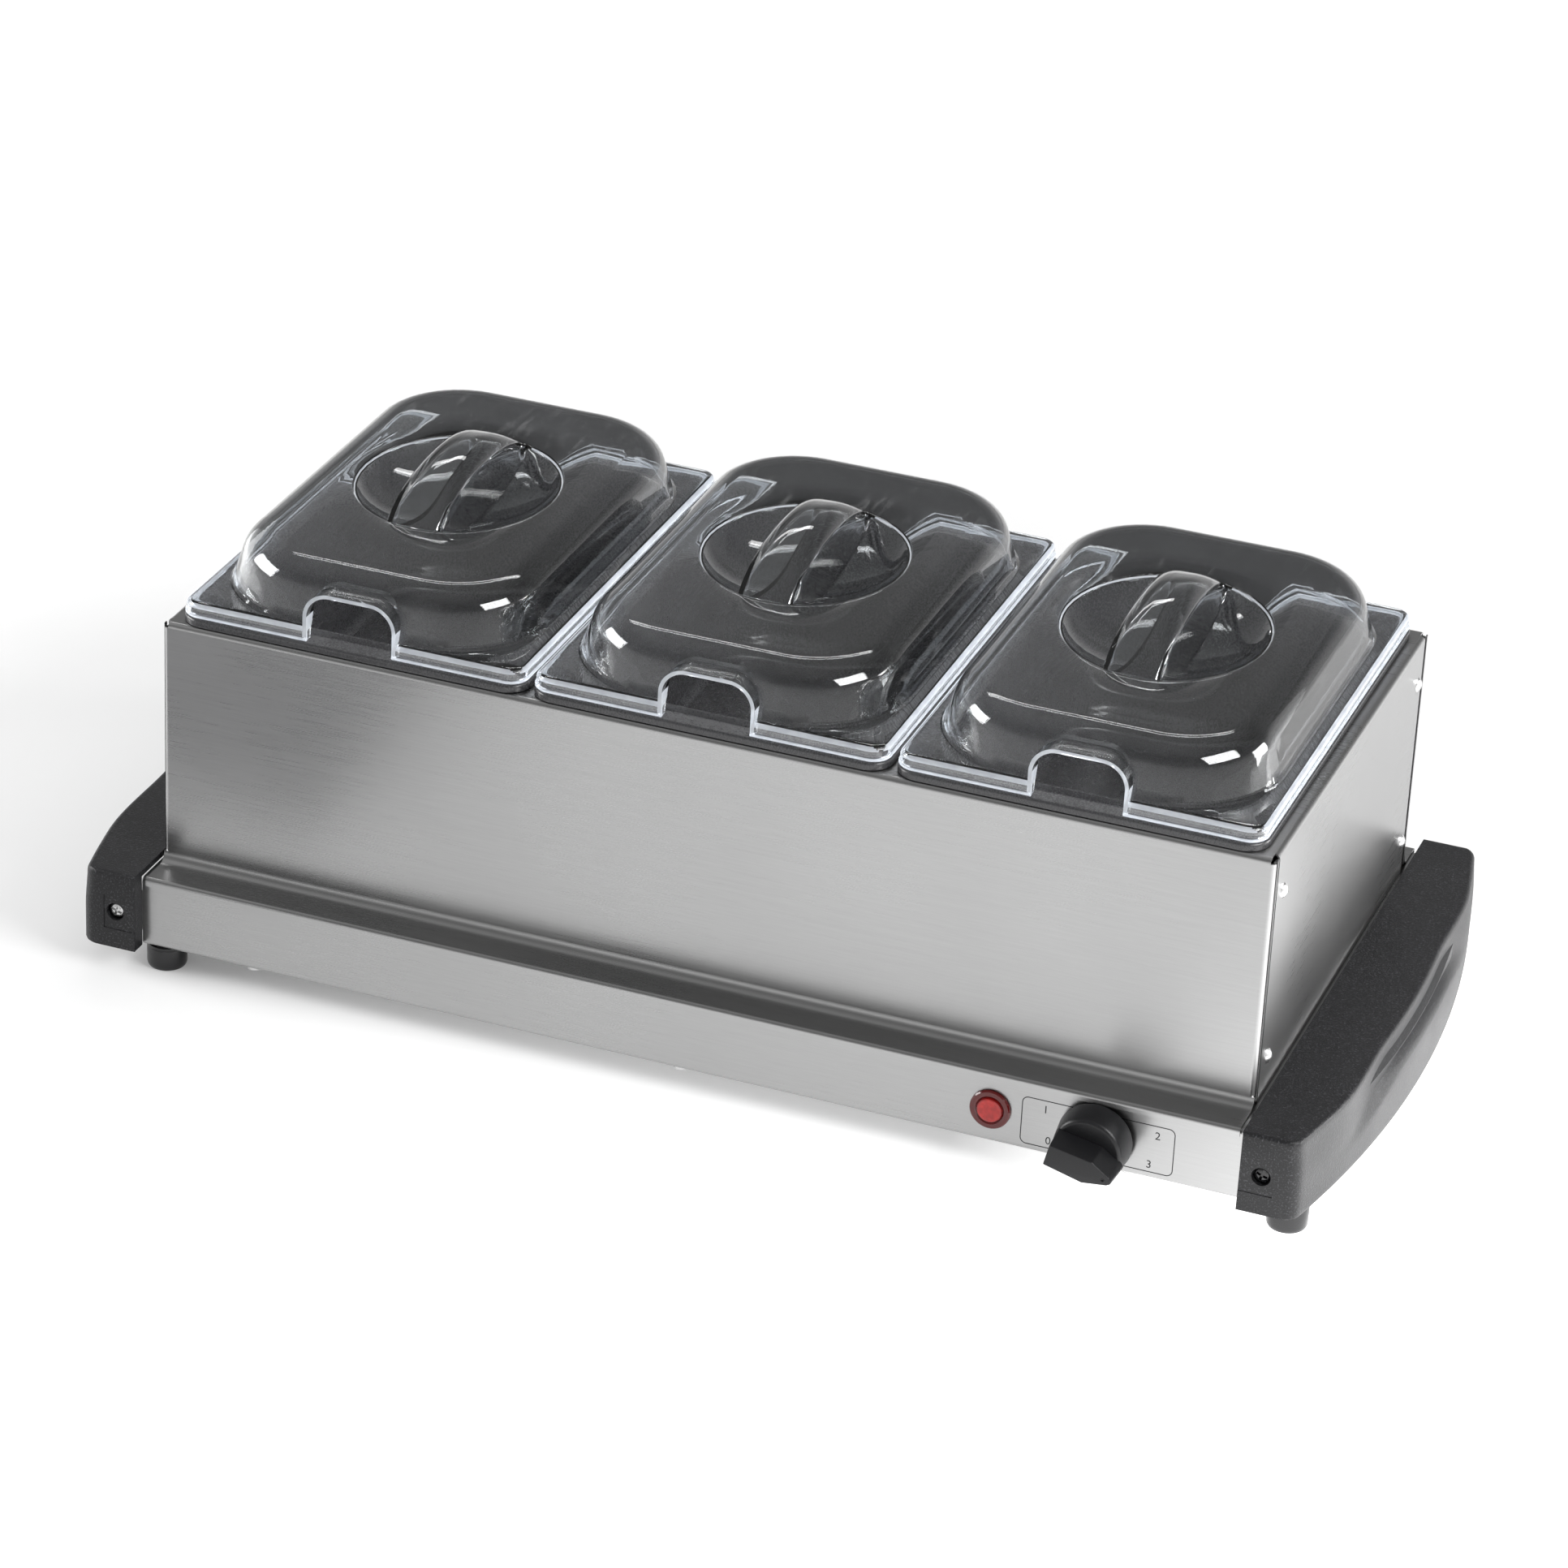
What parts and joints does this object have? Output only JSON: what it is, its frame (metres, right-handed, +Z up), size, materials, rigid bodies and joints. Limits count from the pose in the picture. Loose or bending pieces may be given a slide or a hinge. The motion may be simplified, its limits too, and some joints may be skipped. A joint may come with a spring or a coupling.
{
  "type": "electric buffet server",
  "caption": "Electric buffet warmer: a low steel warming base with end handles, a lift-off frame holding black pans, each with a clear domed lid, and a heat knob.",
  "frame": {"origin": "centre of the whole object's footprint, on the surface that it stands on", "axes": "+X right along the length, +Y to the back, +Z up"},
  "size_m": [0.6124, 0.317, 0.2266],
  "materials": {
    "brushed_steel": "satin brushed stainless steel",
    "inner_steel": "plain zinc-plated steel",
    "screw_steel": "bright zinc plate",
    "rivet_metal": "bright aluminium",
    "black_plastic": "fine spark-eroded texture",
    "foot_plastic": "gloss",
    "knob_plastic": "satin moulded",
    "red_lens": "translucent red, gloss",
    "mica": "mica sheet",
    "resistance_ribbon": "rolled resistance ribbon",
    "ceramic_fibre": "ceramic fibre felt",
    "ceramic": "unglazed steatite",
    "lead_insulation": "silicone sleeve",
    "white_plastic": "moulded",
    "pan_coating": "black non-stick coating",
    "clear_plastic": "clear, polished"
  },
  "bodies": {
    "base": {"base_shell": "brushed_steel", "bottom_cover": "inner_steel", "cover_screws": "screw_steel", "left_handle": "black_plastic", "right_handle": "black_plastic", "handle_screws": "screw_steel", "front_left_foot": "foot_plastic", "front_right_foot": "foot_plastic", "rear_left_foot": "foot_plastic", "rear_right_foot": "foot_plastic", "foot_screws": "screw_steel", "upper_mica_sheet": "mica", "heating_ribbon": "resistance_ribbon", "lower_mica_sheet": "mica", "insulation_pad": "ceramic_fibre", "heater_tray": "inner_steel", "heater_studs": "inner_steel", "heater_nuts": "screw_steel", "thermostat_body": "ceramic", "thermostat_nut": "screw_steel", "pilot_lamp_lens": "red_lens", "pilot_lamp_holder": "white_plastic", "thermal_fuse": "inner_steel", "terminal_block": "ceramic", "terminal_screws": "screw_steel", "internal_wires": "lead_insulation", "cable_gland": "black_plastic", "gland_nut": "black_plastic"},
    "knob": {"thermostat_shaft": "inner_steel", "control_knob": "knob_plastic"},
    "frame": {"frame_shell": "brushed_steel", "frame_rivets": "rivet_metal"},
    "left_pan_body": {"left_pan": "pan_coating"},
    "left_lid_body": {"left_lid": "clear_plastic"},
    "middle_pan_body": {"middle_pan": "pan_coating"},
    "middle_lid_body": {"middle_lid": "clear_plastic"},
    "right_pan_body": {"right_pan": "pan_coating"},
    "right_lid_body": {"right_lid": "clear_plastic"}
  },
  "joints": [
    {"name": "knob_turn", "type": "hinge", "parent": "base", "child": "knob", "pos_m": [0.1965, -0.1285, 0.0282], "axis": [0, 1, 0], "range_deg": [-217, 12]},
    {"name": "frame_lift", "type": "slide", "parent": "base", "child": "frame", "axis": [0, 0, 1], "range_m": [0, 0.12]},
    {"name": "left_pan_lift", "type": "slide", "parent": "frame", "child": "left_pan_body", "axis": [0, 0, 1], "range_m": [0, 0.12]},
    {"name": "left_lid_lift", "type": "slide", "parent": "left_pan_body", "child": "left_lid_body", "axis": [0, 0, 1], "range_m": [0, 0.12]},
    {"name": "middle_pan_lift", "type": "slide", "parent": "frame", "child": "middle_pan_body", "axis": [0, 0, 1], "range_m": [0, 0.12]},
    {"name": "middle_lid_lift", "type": "slide", "parent": "middle_pan_body", "child": "middle_lid_body", "axis": [0, 0, 1], "range_m": [0, 0.12]},
    {"name": "right_pan_lift", "type": "slide", "parent": "frame", "child": "right_pan_body", "axis": [0, 0, 1], "range_m": [0, 0.12]},
    {"name": "right_lid_lift", "type": "slide", "parent": "right_pan_body", "child": "right_lid_body", "axis": [0, 0, 1], "range_m": [0, 0.12]}
  ]
}
